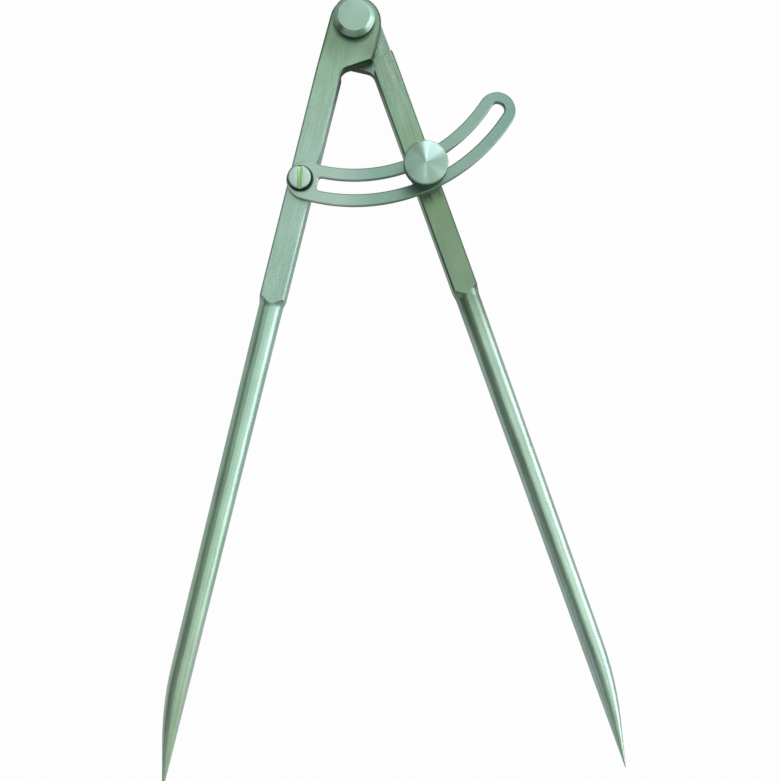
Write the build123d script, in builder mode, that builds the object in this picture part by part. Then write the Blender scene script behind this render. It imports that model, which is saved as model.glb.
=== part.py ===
from build123d import *
import math
import os

# Hinged divider: two pointed steel legs on a riveted lap hinge, a slotted setting arc fixed to
# the left leg, and a knurled screw that clamps the right leg to the arc. All sizes in millimetres.
# The tool lies on its back. The origin is on the hinge axis at the back face of the rear washer,
# +Z comes out of the front face and +Y runs from the points to the hinge.

# Legs. Distances along a leg are measured from the hinge axis.
leg_length = 250.0
rest_opening = 34.0
bar_thickness = 8.0
bar_width = 7.8
closing_gap = 0.05
bar_side = closing_gap + bar_width
edge_break = 0.5
lap_gap = 0.06

# Round head. Its middle lies a little inwards of the hinge, so its outer side tapers to the bar.
head_radius = 8.0
head_inset = 0.5
head_drop = 0.75
head_taper_end = 18.0
head_inner_side = head_radius + head_inset

# Heel on the inner side of each head, and the step that the other leg's heel closes against.
heel_drop = 11.0
heel_root = 16.5
heel_corner_radius = 0.8
heel_fillet = 3.4
heel_slope = (heel_root - heel_drop) / (head_inner_side - closing_gap)
step_gap = 0.35
step_inner_radius = 2.9
step_outer_radius = 1.2

# Turned shoulder, round shank and point.
shoulder_tangent = 93.6
shoulder_radius = 4.0
bar_end = 97.0
shank_radius = 3.8
shank_end = 205.0
shank_end_radius = 3.5
point_taper = 13.8
point_blend_radius = 110.0
point_spans = 6
point_tip_radius = 0.12

# Hinge rivet and rear washer.
rivet_radius = 3.0
running_gap = 0.05
cap_radius = 6.5
cap_land = 2.0
cap_top_radius = 4.95
cap_height = 3.3
rear_washer_thickness = 2.0
rear_washer_chamfer = 0.6
tail_radius = 4.2
tail_depth = 1.2

# Setting arc. Its angles are measured from the left leg's inner edge, towards the right leg.
arc_radius = 53.0
arc_width = 11.6
arc_thickness = 2.0
arc_first_end = -2.66
arc_last_end = 70.54
arc_hole_radius = 2.15
arc_edge_break = 0.3
slot_width = 4.2
slot_start = 1.44
slot_finish = 73.34
slot_start_corner = 1.3
slot_finish_corner = 1.9

# Screws, both M4. Each one stands on the centre line of its leg.
screw_radius = 2.0
screw_offset = 4.0
screw_end_recess = 1.2
screw_end_chamfer = 0.5
arc_screw_head_radius = 3.45
arc_screw_head_height = 2.6
arc_screw_edge = 0.3
arc_screw_slot_length = 9.0
arc_screw_slot_width = 1.25
arc_screw_slot_depth = 1.1
arc_screw_slot_angle = 87.0

# Clamp screw and the washer under its collar.
clamp_washer_radius = 4.3
clamp_washer_hole_radius = 2.15
clamp_washer_thickness = 0.8
seat_gap = 0.05
collar_radius = 4.0
knob_rise = 8.5
knob_radius = 6.65
knob_height = 4.5
knob_chamfer = 0.45
knurl_teeth = 60
knurl_depth = 0.25

# Levels above the back face.
half_bar = bar_thickness / 2
right_leg_middle = rear_washer_thickness + lap_gap + half_bar
left_leg_middle = right_leg_middle + lap_gap
front_face = left_leg_middle + half_bar
arc_face = front_face + arc_thickness
screw_end = rear_washer_thickness + screw_end_recess
collar_face = arc_face + seat_gap + clamp_washer_thickness + seat_gap
knob_face = arc_face + knob_rise

# Places on the legs and on the arc.
shank_centre = closing_gap + bar_width / 2
left_leg_angle = -rest_opening / 2
right_leg_angle = rest_opening / 2
screw_distance = math.sqrt(arc_radius**2 - screw_offset**2)
screw_angle = math.degrees(math.asin(screw_offset / arc_radius))


def screw_plane(angle):
    """Upright plane through a screw's axis, which is at an angle on the arc from straight down."""
    turn = math.radians(angle)
    place = (arc_radius * math.sin(turn), -arc_radius * math.cos(turn), 0)
    return Plane(origin=place, x_dir=(1, 0, 0), z_dir=(0, -1, 0))


def point_arc():
    """Arc of the outer edge, along the leg, that joins the side of the shank to the taper."""
    shank_side = shank_centre + shank_radius
    shank_end_side = closing_gap + 2 * shank_end_radius
    shank_slope = (shank_end_side - shank_side) / (shank_end - bar_end)
    taper_slope = -math.tan(math.radians(point_taper))
    tip = closing_gap + 2 * point_tip_radius
    corner = (shank_side - tip - shank_slope * bar_end + taper_slope * leg_length) / (
        taper_slope - shank_slope
    )
    with BuildLine() as outline:
        Polyline(
            (bar_end, shank_side),
            (corner, tip + taper_slope * (corner - leg_length)),
            (leg_length, tip),
        )
        fillet(outline.vertices().sort_by(Axis.X)[1], point_blend_radius)
    return outline.edges().sort_by(Axis.X)[1]


def cross_plane(along, across, lean=0.0):
    """Plane across the leg through a place on its centre line, turned towards its inner edge."""
    return Plane(
        origin=(-across, -along, 0),
        x_dir=(0, 0, 1),
        z_dir=(math.sin(lean), -math.cos(lean), 0),
    )


def point_section(arc, share):
    """Plane and radius of the round section between the inner edge and a place on the arc."""
    side = arc @ share
    lean = -math.atan((arc % share).Y / (arc % share).X) / 2
    radius = (side.Y - closing_gap) / 2 / math.cos(lean)
    plane = cross_plane(side.X - radius * math.sin(lean), closing_gap + radius * math.cos(lean), lean)
    return plane, radius


def forge_leg():
    """One leg on its own axes: hinge on Z, inner edge down -Y, half-thick head on the +Z side."""
    with BuildPart() as leg:
        # Front half of the thickness: round head, heel and bar.
        with BuildSketch() as front:
            with BuildLine():
                crown = CenterArc((head_inset, -head_drop), head_radius, 0, 180)
                Polyline(
                    crown @ 1,
                    (-bar_side, -head_taper_end),
                    (-bar_side, -bar_end),
                    (-closing_gap, -bar_end),
                    (-closing_gap, -heel_root),
                    (head_inner_side, -heel_drop),
                    crown @ 0,
                )
            make_face()
            fillet(front.vertices().sort_by_distance((-closing_gap, -heel_root))[0], heel_fillet)
            heel_corner = (head_inner_side, -heel_drop)
            fillet(front.vertices().sort_by_distance(heel_corner)[0], heel_corner_radius)
        extrude(amount=half_bar)

        # Back half of the thickness: the bar alone.
        with BuildSketch():
            with BuildLine():
                Polyline(
                    crown @ 1,
                    (-bar_side, -head_taper_end),
                    (-bar_side, -bar_end),
                    (-closing_gap, -bar_end),
                    (-closing_gap, -head_drop),
                    close=True,
                )
            make_face()
        extrude(amount=-half_bar)

        # Broken edges round the front face and along the back one, up to where the bar is turned.
        front_rim = leg.faces().sort_by(Axis.Z)[-1].outer_wire().edges()
        back_rim = leg.faces().sort_by(Axis.Z)[0].outer_wire().edges()
        rim = front_rim + back_rim.filter_by(lambda edge: abs((edge % 0).Y) > abs((edge % 0).X))
        chamfer(rim.filter_by(lambda edge: edge.center().Y > -shoulder_tangent), edge_break)

        # Half lap: behind the head the back half is cut away, down to a slanted step.
        with BuildSketch() as lap:
            with BuildLine():
                step_top = -heel_drop - step_gap - (head_inner_side - bar_side) * heel_slope
                step_root = -heel_root - step_gap
                step_foot = step_root - step_inner_radius
                Polyline(
                    (-head_radius, 0),
                    (-head_radius, step_foot),
                    (-bar_side, step_foot),
                    (-bar_side, step_top),
                    (-closing_gap, step_root),
                    (-closing_gap, step_foot),
                    (0, step_foot),
                    (0, 0),
                    close=True,
                )
            make_face()
            fillet(lap.vertices().sort_by_distance((-bar_side, step_top))[0], step_outer_radius)
            fillet(lap.vertices().sort_by_distance((-closing_gap, step_root))[0], step_inner_radius)
        extrude(amount=-half_bar, mode=Mode.SUBTRACT)

        # Concave shoulder, turned from the square bar down to the round shank.
        with BuildSketch():
            with BuildLine():
                surface = shank_radius - shank_centre
                scoop = CenterArc(
                    (surface + shoulder_radius, -shoulder_tangent), shoulder_radius, 90, 90
                )
                Polyline(
                    scoop @ 1,
                    (surface, -bar_end),
                    (surface + shoulder_radius, -bar_end),
                    scoop @ 0,
                )
            make_face()
        revolve(axis=Axis((-shank_centre, 0, 0), (0, 1, 0)), mode=Mode.SUBTRACT)

        # Round shank, which tapers a little, and a point that stays in line on the inner side,
        # closes in from the outer one, and ends in a cone.
        arc = point_arc()
        sections = [(cross_plane(bar_end, shank_centre), shank_radius)]
        sections += [point_section(arc, index / point_spans) for index in range(point_spans + 1)]
        cone_plane, cone_radius = sections[-1]
        cone_height = (cone_radius - point_tip_radius) / math.tan(math.radians(point_taper / 2))
        sections.append((cone_plane.offset(cone_height), point_tip_radius))
        for plane, radius in sections:
            with BuildSketch(plane):
                Circle(radius)
        loft(ruled=True)

        # Hinge bore and screw hole, right through.
        Hole(rivet_radius + running_gap)
        with Locations((-screw_offset, -screw_distance)):
            Hole(screw_radius + running_gap)
    return leg.part


# Legs. The right one is the same forging, turned over.
leg_forging = forge_leg()

with BuildPart() as left_leg:
    with Locations(Location((0, 0, left_leg_middle), (0, 0, left_leg_angle))):
        add(leg_forging)

with BuildPart() as right_leg:
    with Locations(Location((0, 0, right_leg_middle), (0, 180, left_leg_angle))):
        add(leg_forging)

# Hinge rivet: cap, shank through both heads, and a tail peened into the rear washer.
with BuildPart() as pivot_rivet:
    with BuildSketch(Plane.XZ):
        with BuildLine():
            Polyline(
                (0, 0),
                (tail_radius, 0),
                (rivet_radius, tail_depth),
                (rivet_radius, front_face),
                (cap_radius, front_face),
                (cap_radius, front_face + cap_land),
                (cap_top_radius, front_face + cap_height),
                (0, front_face + cap_height),
                close=True,
            )
        make_face()
    revolve(axis=Axis.Z)

with BuildPart() as rivet_washer:
    with BuildSketch(Plane.XZ):
        with BuildLine():
            Polyline(
                (tail_radius, 0),
                (cap_radius - rear_washer_chamfer, 0),
                (cap_radius, rear_washer_chamfer),
                (cap_radius, rear_washer_thickness),
                (rivet_radius, rear_washer_thickness),
                (rivet_radius, tail_depth),
                close=True,
            )
        make_face()
    revolve(axis=Axis.Z)

# Setting arc: a flat band round the hinge, with round ends, a long slot and one screw hole.
with BuildPart() as setting_arc:
    with BuildSketch(Plane.XY.offset(front_face)):
        middle = CenterArc(
            (0, 0),
            arc_radius,
            left_leg_angle + arc_first_end - 90,
            arc_last_end - arc_first_end,
            mode=Mode.PRIVATE,
        )
        SlotArc(middle, arc_width)
    extrude(amount=arc_thickness)
    with BuildSketch(Plane.XY.offset(front_face)) as slot:
        with BuildLine():
            slot_turn = (left_leg_angle + slot_start - 90, slot_finish - slot_start)
            inner = CenterArc((0, 0), arc_radius - slot_width / 2, *slot_turn)
            outer = CenterArc((0, 0), arc_radius + slot_width / 2, *slot_turn)
            Line(inner @ 0, outer @ 0)
            Line(inner @ 1, outer @ 1)
        make_face()
        fillet(slot.vertices().sort_by_distance(middle @ 0)[:2], slot_start_corner)
        fillet(slot.vertices().sort_by_distance(middle @ 1)[:2], slot_finish_corner)
    extrude(amount=arc_thickness, mode=Mode.SUBTRACT)
    chamfer(setting_arc.faces().sort_by(Axis.Z)[-1].edges(), arc_edge_break)
    with Locations(screw_plane(left_leg_angle - screw_angle).origin):
        Hole(arc_hole_radius)

# Arc screw: slotted cheese head on a short threaded shank.
arc_screw_plane = screw_plane(left_leg_angle - screw_angle)
with BuildPart() as arc_screw:
    with BuildSketch(arc_screw_plane):
        with BuildLine():
            top = arc_face + arc_screw_head_height
            Polyline(
                (0, screw_end),
                (screw_radius - screw_end_chamfer, screw_end),
                (screw_radius, screw_end + screw_end_chamfer),
                (screw_radius, arc_face),
                (arc_screw_head_radius, arc_face),
                (arc_screw_head_radius, top - arc_screw_edge),
                (arc_screw_head_radius - arc_screw_edge, top),
                (0, top),
                close=True,
            )
        make_face()
    revolve(axis=Axis(arc_screw_plane.origin, (0, 0, 1)))
    with BuildSketch(Plane.XY.offset(top)):
        with Locations(arc_screw_plane.origin):
            Rectangle(
                arc_screw_slot_length, arc_screw_slot_width, rotation=arc_screw_slot_angle
            )
    extrude(amount=-arc_screw_slot_depth, mode=Mode.SUBTRACT)

# Clamp washer, between the arc and the collar of the clamp screw.
clamp_plane = screw_plane(right_leg_angle + screw_angle)
with BuildPart() as clamp_washer:
    with BuildSketch(Plane.XY.offset(arc_face + seat_gap)):
        with Locations(clamp_plane.origin):
            Circle(clamp_washer_radius)
            Circle(clamp_washer_hole_radius, mode=Mode.SUBTRACT)
    extrude(amount=clamp_washer_thickness)

# Clamp screw: flat knurled head, collar and threaded shank, turned from one bar.
with BuildPart() as clamp_screw:
    with BuildSketch(clamp_plane):
        with BuildLine():
            top = knob_face + knob_height
            Polyline(
                (0, screw_end),
                (screw_radius - screw_end_chamfer, screw_end),
                (screw_radius, screw_end + screw_end_chamfer),
                (screw_radius, collar_face),
                (collar_radius, collar_face),
                (collar_radius, knob_face),
                (knob_radius - knob_chamfer, knob_face),
                (knob_radius, knob_face + knob_chamfer),
                (knob_radius, top - knob_chamfer),
                (knob_radius - knob_chamfer, top),
                (0, top),
                close=True,
            )
        make_face()
    revolve(axis=Axis(clamp_plane.origin, (0, 0, 1)))
    with BuildSketch(Plane.XY.offset(knob_face)):
        with Locations(clamp_plane.origin):
            with PolarLocations(knob_radius, knurl_teeth):
                groove_side = knurl_depth * math.sqrt(2)
                Rectangle(groove_side, groove_side, rotation=45)
    extrude(amount=knob_height, mode=Mode.SUBTRACT)

pieces = {
    "left_leg": left_leg,
    "right_leg": right_leg,
    "pivot_rivet": pivot_rivet,
    "rivet_washer": rivet_washer,
    "setting_arc": setting_arc,
    "arc_screw": arc_screw,
    "clamp_washer": clamp_washer,
    "clamp_screw": clamp_screw,
}
os.makedirs("parts", exist_ok=True)
for label, piece in pieces.items():
    piece.part.label = label
    export_step(piece.part, f"parts/{label}.step")
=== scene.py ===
import math

import bpy
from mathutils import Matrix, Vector


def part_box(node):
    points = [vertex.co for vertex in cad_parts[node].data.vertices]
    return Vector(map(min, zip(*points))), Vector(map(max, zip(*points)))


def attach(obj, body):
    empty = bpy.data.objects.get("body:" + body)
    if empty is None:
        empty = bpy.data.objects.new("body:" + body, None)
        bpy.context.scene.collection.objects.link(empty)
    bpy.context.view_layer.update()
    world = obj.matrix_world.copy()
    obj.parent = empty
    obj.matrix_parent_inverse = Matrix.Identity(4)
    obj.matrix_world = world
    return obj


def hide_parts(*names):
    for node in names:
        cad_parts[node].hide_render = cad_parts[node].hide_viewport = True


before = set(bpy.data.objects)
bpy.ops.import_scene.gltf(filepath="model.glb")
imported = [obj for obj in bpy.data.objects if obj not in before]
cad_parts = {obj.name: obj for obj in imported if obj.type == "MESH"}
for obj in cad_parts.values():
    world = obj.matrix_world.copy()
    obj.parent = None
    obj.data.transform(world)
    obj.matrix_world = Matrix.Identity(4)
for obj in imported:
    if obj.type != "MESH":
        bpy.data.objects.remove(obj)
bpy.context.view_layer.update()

# Legs. Two steel forgings, ground along their length on the flats and draw-filed down the round
# shanks to the points. The right one is the same forging turned over, and its bar is darker.


class Reading:
    """One output of a node, so that sums on it read as plain sums and add Math nodes."""

    def __init__(self, nodes, socket):
        self.nodes = nodes
        self.socket = socket

    def maths(self, operation, *values):
        return self.nodes.node("Math", {"operation": operation}, dict(enumerate(values)))

    def __add__(self, other):
        return self.maths("ADD", self, other)

    def __sub__(self, other):
        return self.maths("SUBTRACT", self, other)

    def __rsub__(self, other):
        return self.maths("SUBTRACT", other, self)

    def __mul__(self, other):
        return self.maths("MULTIPLY", self, other)

    def __truediv__(self, other):
        return self.maths("DIVIDE", self, other)

    __radd__ = __add__
    __rmul__ = __mul__


class Nodes:
    """The nodes of a material or of the world."""

    def __init__(self, owner):
        owner.use_nodes = True
        self.tree = owner.node_tree

    def node(self, kind, settings=None, inputs=None, output=0):
        """A node of a kind, with its settings made first, then its inputs, as a reading."""
        made = self.tree.nodes.new("ShaderNode" + kind)
        for setting, value in (settings or {}).items():
            if setting == "stops":
                elements = made.color_ramp.elements
                for place, color in value[2:]:
                    elements.new(place)
                for element, (place, color) in zip(elements, sorted(value)):
                    element.position = place
                    element.color = (*color, 1)
            else:
                setattr(made, setting, value)
        for key, value in (inputs or {}).items():
            if isinstance(value, Reading):
                self.tree.links.new(value.socket, made.inputs[key])
            else:
                made.inputs[key].default_value = value
        return Reading(self, made.outputs[output])

    def vector(self, operation, *values):
        """A Vector Math node."""
        return self.node("VectorMath", {"operation": operation}, dict(enumerate(values)))

    def noise(self, place, marks, detail=2):
        """Noise that swings about nothing, with so many marks to a metre, or so many each way."""
        if isinstance(marks, tuple):
            place = self.vector("MULTIPLY", place, marks)
            marks = 1
        return self.node("TexNoise", inputs={"Vector": place, "Scale": marks, "Detail": detail}) - 0.5

    def tone_along(self, value, tones):
        """Tones at places along a value, from the first place to the last."""
        first, last = tones[0][0], tones[-1][0]
        stops = [((place - first) / (last - first), color) for place, color in tones]
        return self.node("ValToRGB", {"stops": stops}, {"Fac": (value - first) / (last - first)})

    def smooth_step(self, value, start, finish):
        """A value brought smoothly from one range to another."""
        before = {"From Min": start[0], "From Max": start[1]}
        after = {"To Min": finish[0], "To Max": finish[1]}
        settings = {"interpolation_type": "SMOOTHSTEP"}
        return self.node("MapRange", settings, {"Value": value, **before, **after})

    def mix(self, factor, first, second, blend="MIX"):
        """A blend of two colours."""
        colors = [c if isinstance(c, Reading) else (*c, 1) for c in (first, second)]
        settings = {"data_type": "RGBA", "blend_type": blend}
        return self.node("Mix", settings, {0: factor, 6: colors[0], 7: colors[1]}, output=2)


class Finish(Nodes):
    """A metal finish on its way: its nodes, and the shader that they feed."""

    def __init__(self, name, color, roughness, metallic=1):
        self.material = bpy.data.materials.new(name)
        super().__init__(self.material)
        self.shader = self.tree.nodes["Principled BSDF"]
        self.shader.inputs["Base Color"].default_value = (*color, 1)
        self.shader.inputs["Metallic"].default_value = metallic
        self.shader.inputs["Roughness"].default_value = roughness

    def feed(self, **readings):
        """Links readings to the shader's sockets, named with underscores for spaces."""
        for key, reading in readings.items():
            self.tree.links.new(reading.socket, self.shader.inputs[key.replace("_", " ")])

    def wear(self, *objects):
        """Puts the finish on objects."""
        for thing in objects:
            thing.data.materials.clear()
            thing.data.materials.append(self.material)

    def tilted(self, direction, slope, edge_radius):
        """The surface's normal, tilted by a slope along a direction, with softened edges."""
        surface = self.node("Bevel", {"samples": 4}, {"Radius": edge_radius})
        shift = self.node("VectorMath", {"operation": "SCALE"}, {0: direction, "Scale": slope})
        return self.vector("NORMALIZE", self.vector("ADD", surface, shift))

    def upright(self, steep, flat, underside=False):
        """One on walls, and where asked on the underside, and nothing on a level face."""
        normal = self.node("TexCoord", output="Normal")
        rise = self.node("SeparateXYZ", inputs={"Vector": normal}, output="Z")
        if not underside:
            rise = rise.maths("ABSOLUTE", rise)
        return self.smooth_step(rise, (steep, flat), (1, 0))

    def to_world(self, direction):
        """A direction on the object, turned with it."""
        settings = {"vector_type": "VECTOR", "convert_from": "OBJECT", "convert_to": "WORLD"}
        return self.node("VectorTransform", settings, {"Vector": direction})


def ground_finish(name, lean, tones, roughness):
    """Steel ground along a leg that leans by an angle, with tones at distances from the hinge."""
    finish = Finish(name, tones[0][1], roughness)
    place = finish.node("TexCoord", output="Object")
    along = finish.node("Mapping", inputs={"Vector": place, "Rotation": (0, 0, -lean)})
    across = finish.node("SeparateXYZ", inputs={"Vector": along}, output="X")
    down = finish.node("SeparateXYZ", inputs={"Vector": along}, output="Y") * -1

    # Scratches: long in the grain, a fifth of a millimetre apart, with broader ones between them.
    fine = finish.noise(along, (5200, 160, 5200))
    broad = finish.noise(along, (1300, 60, 1300))
    specks = finish.noise(place, 2600)

    # The scratches turn the surface sideways, across the leg.
    length = finish.to_world((math.sin(-lean), math.cos(lean), 0))
    flat = finish.node("NewGeometry", output="Normal")
    side = finish.vector("NORMALIZE", finish.vector("CROSS_PRODUCT", length, flat))
    slope = fine * 0.25 + broad * 0.12 + specks * 0.2

    # Tones along the leg, patches of tone, and lighter and darker scratches.
    cloud = finish.noise(along, (170, 80, 170), detail=3)
    share = cloud * 1.3 + fine * 0.3 + 0.5
    pale, deep = (1.06, 1.04, 1.0), (0.76, 0.80, 0.78)
    patches = finish.mix(share, pale, deep)
    ground = finish.mix(1, finish.tone_along(down, tones), patches, "MULTIPLY")

    # Painted shade darkens the walls of the bar: darkest at the head, and lighter down the leg. The
    # broken edges take it at the head too, and below the head they are darkened to half with painted
    # shade.
    bar_wall_shade_tones = [
        (0.0, (0.08, 0.12, 0.10)),
        (0.0125, (0.10, 0.15, 0.13)),
        (0.0325, (0.46, 0.66, 0.55)),
        (0.05, (0.58, 0.82, 0.70)),
    ]
    bar_end = (0.0905, 0.0925)
    head_end = (0.015, 0.0275)
    black = (0.0, 0.0, 0.0)
    on_bar = finish.smooth_step(down, bar_end, (1, 0))
    on_walls = finish.upright(0.25, 0.6) * on_bar
    on_edges = finish.upright(0.55, 0.97) * on_bar
    ground_with_edge_shade = finish.mix(on_edges * 0.5, ground, black)
    dark_edges = on_edges * finish.smooth_step(down, head_end, (1, 0))
    bar_wall_shade_share = on_walls.maths("MAXIMUM", on_walls, dark_edges)

    # Painted shade blackens the walls on the inner side, in the corner under the heel.
    heel_start, heel_end = (0.00625, 0.01), (0.02, 0.02875)
    painted_shade_color = (0.02, 0.036, 0.033)
    inward = across * math.copysign(1, -lean)
    painted_shade_share = finish.smooth_step(down, heel_start, (0, 1)) * finish.smooth_step(down, heel_end, (1, 0))
    painted_shade_share *= finish.smooth_step(inward, (-0.003, 0.001), (0, 1))
    scale = finish.mix(painted_shade_share, finish.tone_along(down, bar_wall_shade_tones), painted_shade_color)
    finish.feed(
        Base_Color=finish.mix(bar_wall_shade_share, ground_with_edge_shade, scale),
        Roughness=broad * 0.15 + roughness,
        Normal=finish.tilted(side, slope, edge_radius=0.0002),
    )
    return finish


half_opening = math.radians(17)
left_tones = [
    (0.0, (0.29, 0.43, 0.34)),
    (0.008, (0.29, 0.43, 0.34)),
    (0.016, (0.46, 0.68, 0.56)),
    (0.045, (0.64, 0.86, 0.86)),
    (0.09, (0.62, 0.87, 0.86)),
    (0.17, (0.66, 0.92, 0.84)),
    (0.21, (0.80, 1.0, 0.95)),
]
left_finish = ground_finish("left_leg_ground_steel", -half_opening, left_tones, roughness=0.33)
left_finish.wear(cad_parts["left_leg"])
right_tones = [
    (0.0, (0.35, 0.50, 0.44)),
    (0.022, (0.39, 0.55, 0.48)),
    (0.03, (0.45, 0.64, 0.54)),
    (0.045, (0.39, 0.55, 0.42)),
    (0.06, (0.35, 0.49, 0.35)),
    (0.09, (0.32, 0.45, 0.36)),
    (0.11, (0.68, 0.88, 0.87)),
    (0.25, (0.72, 0.93, 0.91)),
]
right_finish = ground_finish("right_leg_ground_steel", half_opening, right_tones, roughness=0.29)
right_finish.wear(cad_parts["right_leg"])

# Hinge rivet and its rear washer. Turned steel, polished, with a flat cap that has a wide bevel.
# The tail is peened over and ground flush with the washer.


def ring_finish(name, color, roughness, centre, rings, slope, lean=0, underside=True, bevel_shade_radii=None):
    """Steel turned about an upright axis, with fine rings of a given slope, so many to a metre.

    A lean tilts the whole face outwards. Where two radii are given, painted shade comes on from the
    first to the second, and stays beyond it. Walls, and where asked the underside, take painted
    shade.
    """
    finish = Finish(name, color, roughness)
    place = finish.node("TexCoord", output="Object")
    flat = finish.vector("MULTIPLY", finish.vector("SUBTRACT", place, (*centre, 0)), (1, 1, 0))
    radius = finish.node("VectorMath", {"operation": "LENGTH"}, {0: flat}, output="Value")
    settings = {"noise_dimensions": "1D"}
    ring = finish.node("TexNoise", settings, {"W": radius * rings, "Scale": 1, "Detail": 2}) - 0.5
    outward = finish.to_world(finish.vector("NORMALIZE", flat))
    patch = finish.noise(place, 300, detail=3)
    worn = tuple(0.85 * channel for channel in color)
    painted_bevel_shade, wall_painted_shade = (0.12, 0.26, 0.24), (0.055, 0.10, 0.11)
    face = finish.mix(patch * 1.2 + ring * 0.6 + 0.5, color, worn)
    # Painted shade on the face, from the first radius outwards.
    if bevel_shade_radii:
        face = finish.mix(finish.smooth_step(radius, bevel_shade_radii, (0, 0.35)), face, painted_bevel_shade)
    finish.feed(
        # Walls, and where asked the underside, take painted shade.
        Base_Color=finish.mix(finish.upright(0.3, 0.6, underside), face, wall_painted_shade),
        Normal=finish.tilted(outward, ring * slope + lean, edge_radius=0.0001),
    )
    return finish


rivet_finish = ring_finish(
    "polished_rivet_steel",
    color=(0.53, 0.74, 0.69),
    roughness=0.26,
    centre=(0, 0),
    rings=9000,
    slope=0.2,
    underside=False,
    # Painted shade on the cap's bevel and outwards from it.
    bevel_shade_radii=(0.0052, 0.0063),
)
rivet_finish.wear(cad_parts["pivot_rivet"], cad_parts["rivet_washer"])

# Setting arc. A band cut from sheet steel, smooth and satin, with its upper edges broken.


def satin_finish(name, pale, deep, roughness, darkened=None):
    """Sheet steel with a fine grain and soft patches, painted shade on its walls, darker where asked.
    """
    finish = Finish(name, pale, roughness)
    place = finish.node("TexCoord", output="Object")
    patch = finish.noise(place, 110, detail=3)
    grain = finish.noise(place, 3500)
    bump = finish.node("Bump", inputs={"Strength": 0.06, "Distance": 0.00001, "Height": grain})
    # The walls take painted shade.
    wall_painted_shade = (0.12, 0.19, 0.18)
    face = finish.mix(patch * 1.8 + grain * 0.2 + 0.5, pale, deep)
    if darkened:
        face = finish.mix(1, face, darkened(finish, place), "MULTIPLY")
    finish.feed(
        Base_Color=finish.mix(finish.upright(0.3, 0.6), face, wall_painted_shade),
        Roughness=patch * 0.2 + roughness,
        Normal=bump,
    )
    return finish


arc_screw_low, arc_screw_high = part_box("arc_screw")
arc_screw_centre = (arc_screw_low + arc_screw_high).xy / 2


def arc_tone(finish, place):
    """Tone of the arc: palest at its left, and dark with painted shade in a ring round its screw."""
    tones = [
        (-0.025, (1.0, 1.0, 1.0)),
        (-0.008, (0.98, 1.0, 1.0)),
        (0.004, (0.60, 0.73, 0.70)),
        (0.032, (0.59, 0.65, 0.62)),
        (0.048, (0.43, 0.54, 0.55)),
    ]
    across = finish.node("SeparateXYZ", inputs={"Vector": place}, output="X")
    away = finish.vector("SUBTRACT", place, (*arc_screw_centre, 0))
    flat = finish.vector("MULTIPLY", away, (1, 1, 0))
    distance = finish.node("VectorMath", {"operation": "LENGTH"}, {0: flat}, output="Value")
    # Painted shade in a ring round the screw head.
    painted_shade_share = finish.smooth_step(distance, (0.0039, 0.0044), (1, 0))
    painted_shade_color = (0.1, 0.12, 0.12)
    return finish.mix(painted_shade_share, finish.tone_along(across, tones), painted_shade_color)


arc_finish = satin_finish(
    "satin_arc_steel",
    pale=(0.68, 0.84, 0.84),
    deep=(0.58, 0.78, 0.74),
    roughness=0.34,
    darkened=arc_tone,
)
arc_finish.wear(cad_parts["setting_arc"])

# Arc screw and clamp washer. The screw is turned from bright bar, with a cheese head that has a
# saw-cut slot and an M4 thread rolled on its shank. The washer is stamped.


def turned(name, centre, columns, outline):
    """A solid turned about an upright axis: a disc extruded up an outline of radii and heights."""
    radius, height = outline[0]
    bpy.ops.object.select_all(action="DESELECT")
    bpy.ops.mesh.primitive_circle_add(
        vertices=columns, radius=radius, fill_type="NGON", location=(*centre, height)
    )
    piece = bpy.context.object
    piece.name = name
    bpy.ops.object.transform_apply()
    bpy.ops.object.mode_set(mode="EDIT")
    bpy.ops.mesh.select_all(action="SELECT")
    for next_radius, next_height in outline[1:]:
        bpy.ops.mesh.extrude_region_move()
        bpy.ops.transform.translate(value=(0, 0, next_height - height))
        share = next_radius / radius
        bpy.ops.transform.resize(value=(share, share, 1), center_override=(*centre, next_height))
        radius, height = next_radius, next_height
    bpy.ops.mesh.select_all(action="SELECT")
    bpy.ops.mesh.normals_make_consistent(inside=False)
    bpy.ops.object.mode_set(mode="OBJECT")
    return piece


def applied(piece, name, kind, **settings):
    """Finishes a piece with a modifier."""
    modifier = piece.modifiers.new(name, kind)
    for setting, value in settings.items():
        setattr(modifier, setting, value)
    bpy.context.view_layer.objects.active = piece
    bpy.ops.object.modifier_apply(modifier=name)


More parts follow.
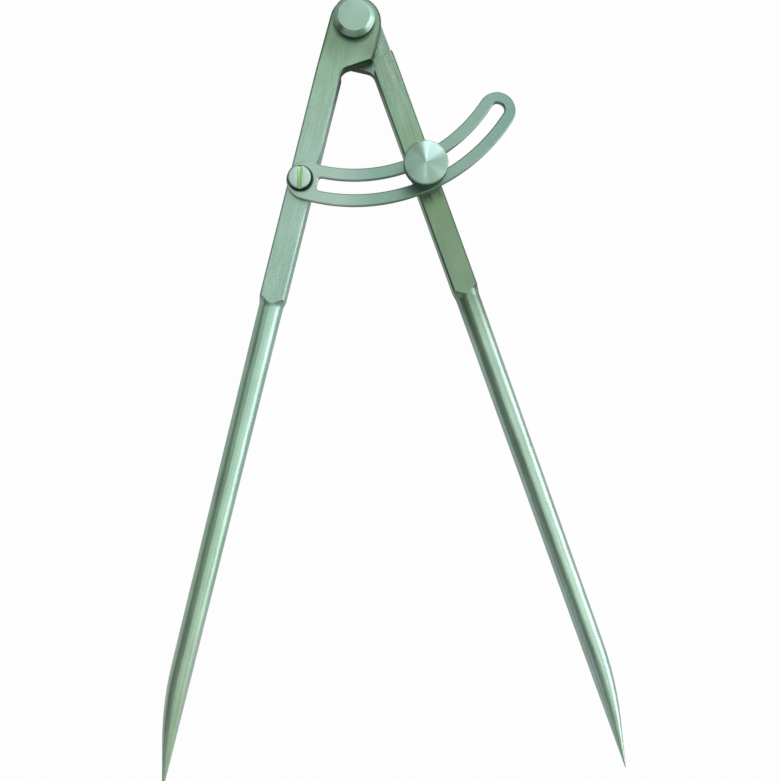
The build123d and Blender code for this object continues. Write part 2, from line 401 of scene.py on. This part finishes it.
def threaded(head, finish, centre, low, high):
    """Adds a shank with an M4 thread to a screw: a V run up a helix, cut flat at its ends."""
    pitch = 0.0007
    crest = 0.002
    flank = pitch / math.sqrt(3)
    root = crest - flank
    steps_a_turn = 24
    merge_distance = 0.000002
    bpy.ops.object.select_all(action="DESELECT")
    bpy.ops.mesh.primitive_circle_add(
        vertices=3,
        radius=flank,
        location=(root, 0, low - pitch),
        rotation=(math.pi / 2, math.pi / 2, 0),
    )
    shank = bpy.context.object
    finish.wear(shank)
    bpy.ops.object.transform_apply()

    # The inner side of the triangle goes, and the V of its other two sides is left.
    for vertex in shank.data.vertices:
        vertex.select = vertex.co.x < root
    for edge in shank.data.edges:
        edge.select = all(shank.data.vertices[end].select for end in edge.vertices)
    bpy.ops.object.mode_set(mode="EDIT")
    bpy.ops.mesh.select_mode(type="EDGE")
    bpy.ops.mesh.delete(type="EDGE")
    bpy.ops.object.mode_set(mode="OBJECT")
    turns = math.ceil((high - low) / pitch) + 2
    applied(
        shank,
        "helix",
        "SCREW",
        screw_offset=pitch,
        iterations=turns,
        steps=steps_a_turn,
        render_steps=steps_a_turn,
        use_merge_vertices=True,
    )
    bpy.ops.object.mode_set(mode="EDIT")
    bpy.ops.mesh.select_mode(type="VERT")
    bpy.ops.mesh.select_all(action="SELECT")
    bpy.ops.mesh.remove_doubles(threshold=merge_distance)
    cut = {"plane_no": (0, 0, 1), "use_fill": True}
    bpy.ops.mesh.bisect(plane_co=(0, 0, low), clear_inner=True, **cut)
    bpy.ops.mesh.select_all(action="SELECT")
    bpy.ops.mesh.bisect(plane_co=(0, 0, high), clear_outer=True, **cut)
    bpy.ops.mesh.select_all(action="SELECT")
    bpy.ops.mesh.normals_make_consistent(inside=False)
    bpy.ops.transform.translate(value=(*centre, 0))
    bpy.ops.object.mode_set(mode="OBJECT")
    head.select_set(True)
    bpy.context.view_layer.objects.active = head
    bpy.ops.object.join()


arc_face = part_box("setting_arc")[1].z
arc_screw_top = arc_screw_high.z
arc_screw_radius = 0.00345
lower_edge = 0.0001
upper_edge = 0.0003
arc_screw = turned(
    "slotted_arc_screw",
    arc_screw_centre,
    columns=96,
    outline=[
        (arc_screw_radius - lower_edge, arc_face),
        (arc_screw_radius, arc_face + lower_edge),
        (arc_screw_radius, arc_screw_top - upper_edge),
        (arc_screw_radius - upper_edge, arc_screw_top),
    ],
)
arc_screw_finish = ring_finish(
    "bright_screw_steel",
    color=(0.82, 1.0, 0.98),
    roughness=0.65,
    centre=arc_screw_centre,
    rings=7000,
    slope=0.2,
)
arc_screw_finish.wear(arc_screw)

# The saw leaves specks on the floor of the slot, a twentieth of a millimetre apart.
slot_specks = 20000
slot_floor_colors = (0.36, 0.90, 0.23), (0.74, 0.98, 0.68)
# The walls of the slot are dark with painted shade.
slot_wall_painted_shade = (0.03, 0.06, 0.05)
slot_finish = Finish("saw_cut_steel", (0.42, 0.60, 0.24), 0.55)
specks = slot_finish.noise(slot_finish.node("TexCoord", output="Object"), slot_specks) + 0.5
slot_floor = slot_finish.mix(specks, *slot_floor_colors)
slot_finish.feed(
    Base_Color=slot_finish.mix(slot_finish.upright(0.3, 0.6), slot_floor, slot_wall_painted_shade)
)
slot_length, slot_width, slot_depth = 0.009, 0.00125, 0.0011
bpy.ops.object.select_all(action="DESELECT")
bpy.ops.mesh.primitive_cube_add(
    size=1,
    location=(*arc_screw_centre, arc_screw_top),
    rotation=(0, 0, math.radians(87)),
    scale=(slot_length, slot_width, 2 * slot_depth),
)
saw = bpy.context.object
slot_finish.wear(saw)
applied(
    arc_screw,
    "slot",
    "BOOLEAN",
    object=saw,
    operation="DIFFERENCE",
    solver="EXACT",
    material_mode="TRANSFER",
)
bpy.data.objects.remove(saw)
applied(arc_screw, "edges", "BEVEL", width=0.00005, segments=2, angle_limit=math.radians(40))
overlap = 0.0002
threaded(arc_screw, arc_screw_finish, arc_screw_centre, arc_screw_low.z, arc_face + overlap)
bpy.ops.object.shade_smooth_by_angle(angle=math.radians(35))
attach(arc_screw, "left_leg")
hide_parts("arc_screw")
washer_finish = satin_finish(
    "clamp_washer_steel", pale=(0.60, 0.84, 0.73), deep=(0.50, 0.74, 0.62), roughness=0.3
)
washer_finish.wear(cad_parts["clamp_washer"])

# Clamp screw. Turned from one bar with its collar and M4 thread. The rim of the head is knurled,
# and its face is turned in fine rings that spread the light into rays.
knob_low, knob_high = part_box("clamp_screw")
knob_centre = (knob_low + knob_high).xy / 2
seat_gap = 0.00005
collar_radius = 0.004
collar_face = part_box("clamp_washer")[1].z + seat_gap
knob_height = 0.0045
knob_top = knob_high.z
knob_face = knob_top - knob_height
knob_radius = 0.00665
knob_chamfer = 0.00045
knurl_teeth = 60
knurl_depth = 0.00025
columns_a_tooth = 3
knob_columns = columns_a_tooth * knurl_teeth
column_angle = 2 * math.pi / knob_columns
clamp_screw = turned(
    "knurled_clamp_screw",
    knob_centre,
    columns=knob_columns,
    outline=[
        (collar_radius, collar_face),
        (collar_radius, knob_face),
        (knob_radius - knob_chamfer, knob_face),
        (knob_radius, knob_face + knob_chamfer),
        (knob_radius, knob_top - knob_chamfer),
        (knob_radius - knob_chamfer, knob_top),
    ],
)

# Knurl: at every third column the rim goes in, and its ends move up and down the chamfers by as
# much, so that each groove runs out on them.
middle = (knob_face + knob_top) / 2
for upper in (False, True):
    bpy.ops.object.mode_set(mode="EDIT")
    bpy.ops.mesh.select_all(action="DESELECT")
    bpy.ops.object.mode_set(mode="OBJECT")
    for vertex in clamp_screw.data.vertices:
        out = vertex.co.xy - knob_centre
        in_groove = round(math.atan2(out.y, out.x) / column_angle) % columns_a_tooth == 0
        on_rim = out.length > knob_radius - knob_chamfer / 2
        vertex.select = on_rim and in_groove and (vertex.co.z > middle) == upper
    bpy.ops.object.mode_set(mode="EDIT")
    share = 1 - knurl_depth / knob_radius
    bpy.ops.transform.resize(value=(share, share, 1), center_override=(*knob_centre, middle))
    bpy.ops.transform.translate(value=(0, 0, knurl_depth if upper else -knurl_depth))
    bpy.ops.object.mode_set(mode="OBJECT")
applied(clamp_screw, "edges", "BEVEL", width=0.00003, segments=1, angle_limit=math.radians(30))
clamp_screw_finish = ring_finish(
    "ring_turned_steel",
    color=(0.62, 0.86, 0.83),
    roughness=0.35,
    centre=knob_centre,
    rings=9000,
    slope=0.12,
    lean=0.1,
)
clamp_screw_finish.shader.inputs["Anisotropic"].default_value = 1
clamp_screw_finish.shader.inputs["Anisotropic Rotation"].default_value = 0.25
clamp_screw_finish.wear(clamp_screw)
threaded(clamp_screw, clamp_screw_finish, knob_centre, knob_low.z, collar_face + overlap)
bpy.ops.object.shade_smooth_by_angle(angle=math.radians(30))
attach(clamp_screw, "clamp_screw")
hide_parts("clamp_screw")

# Studio. A floor and a room that are pale to the camera, with a dimmer sky and lamps all round for
# the steel to reflect, and a camera that looks straight down on the tool.


def pale_share(nodes, camera_share, metal_share):
    """How much of the white background a ray sees: nearly all by camera, a little in metal."""
    by_camera = nodes.node("LightPath", output="Is Camera Ray")
    by_gloss = nodes.node("LightPath", output="Is Glossy Ray")
    by_glass = nodes.node("LightPath", output="Is Transmission Ray")
    return by_camera.maths("MAXIMUM", by_camera * camera_share, (by_gloss + by_glass) * metal_share)


floor_size = 6.0
bpy.ops.object.select_all(action="DESELECT")
bpy.ops.mesh.primitive_plane_add(size=floor_size, location=(0, 0, 0))
floor = bpy.context.object
floor.name = "floor"
floor_finish = Finish("pale_floor", (0.5, 0.5, 0.5), 0.8, 0)
floor_finish.shader.inputs["Specular IOR Level"].default_value = 0
share = pale_share(floor_finish, 0.98, 0.2)
glow = floor_finish.node("Emission", inputs={"Color": (1, 1, 1, 1), "Strength": 1})
lit = Reading(floor_finish, floor_finish.shader.outputs[0])
surface = floor_finish.node("MixShader", inputs={0: share, 1: lit, 2: glow})
output = floor_finish.tree.nodes["Material Output"]
floor_finish.tree.links.new(surface.socket, output.inputs["Surface"])
floor_finish.wear(floor)

world = bpy.data.worlds.new("studio")
bpy.context.scene.world = world
room = Nodes(world)
direction = room.node("TexCoord", output="Generated")
height = room.node("SeparateXYZ", inputs={"Vector": direction}, output="Z")
sky = [
    (0.0, (0.15, 0.21, 0.11)),
    (0.4, (0.13, 0.19, 0.085)),
    (0.6, (0.15, 0.20, 0.11)),
    (0.75, (0.26, 0.33, 0.22)),
    (0.93, (0.30, 0.35, 0.26)),
    (0.97, (0.60, 0.67, 0.56)),
    (1.0, (0.78, 0.85, 0.72)),
]

# The room is dim at the left of the picture, and brightest at its right.
camera_turn = math.radians(-2.96)
right = math.radians(84) - camera_turn
rightward = room.node(
    "VectorMath",
    {"operation": "DOT_PRODUCT"},
    {0: direction, 1: (math.sin(right), math.cos(right), 0)},
    output="Value",
)
shade = room.smooth_step(rightward, (-0.34, -0.04), (0.36, 1))
shade += room.smooth_step(rightward, (0.13, 0.32), (0, 0.6))
light = room.mix(1, room.tone_along(height, sky), shade, "MULTIPLY")
light = room.mix(pale_share(room, 0.98, 0.04), light, (1, 1, 1))
room.tree.links.new(light.socket, room.tree.nodes["Background"].inputs["Color"])

tool_middle = Vector((0, -0.12, 0))


def lamp(name, azimuth, elevation, wide, high, radiance, color=(0.99, 0.94, 1.0)):
    """Area lamp that points at the tool, so many degrees wide and high as the tool sees it.

    Azimuth is clockwise from the top of the picture.
    """
    distance = 1.2
    turn = math.radians(azimuth) - camera_turn
    rise = math.radians(elevation)
    level = Vector((math.sin(turn), math.cos(turn), 0))
    away = level * math.cos(rise) + Vector((0, 0, math.sin(rise)))
    light = bpy.data.lights.new(name, "AREA")
    light.shape = "RECTANGLE"
    light.size = 2 * distance * math.tan(math.radians(wide) / 2)
    light.size_y = 2 * distance * math.tan(math.radians(high) / 2)
    light.energy = math.pi * light.size * light.size_y * radiance
    light.color = color
    made = bpy.data.objects.new(name, light)
    made.location = tool_middle + away * distance
    made.rotation_mode = "QUATERNION"
    made.rotation_quaternion = away.to_track_quat("Z", "Y")
    bpy.context.scene.collection.objects.link(made)


lamp("narrow_key_lamp", 3, 43, 10, 24, 2.3)
lamp("key_lamp", 24, 39, 32, 42, 1.75)
lamp("front_lamp", 35, 9, 80, 14, 0.95)
lamp("side_lamp", 92, 26, 56, 22, 1.0)
lamp("low_lamp", 97, 9, 52, 14, 1.9)
lamp("upper_side_lamp", 112, 55, 30, 20, 0.5)
lamp("left_lamp", 290, 10, 60, 16, 0.3, (0.95, 1.0, 0.7))
lamp("foot_lamp", 205, 22, 60, 30, 0.28)
lamp("upper_left_lamp", 304, 54, 36, 22, 0.5, (0.9, 1.0, 0.8))

camera = bpy.data.cameras.new("camera")
camera.lens = 43.79
camera.sensor_width = 36
camera.clip_start = 0.01
camera.clip_end = 20
viewpoint = bpy.data.objects.new("camera", camera)
viewpoint.location = (0.00510, -0.11632, 0.30612)
viewpoint.rotation_euler = (0, 0, camera_turn)
bpy.context.scene.collection.objects.link(viewpoint)
bpy.context.scene.camera = viewpoint
bpy.context.scene.view_settings.view_transform = "Standard"
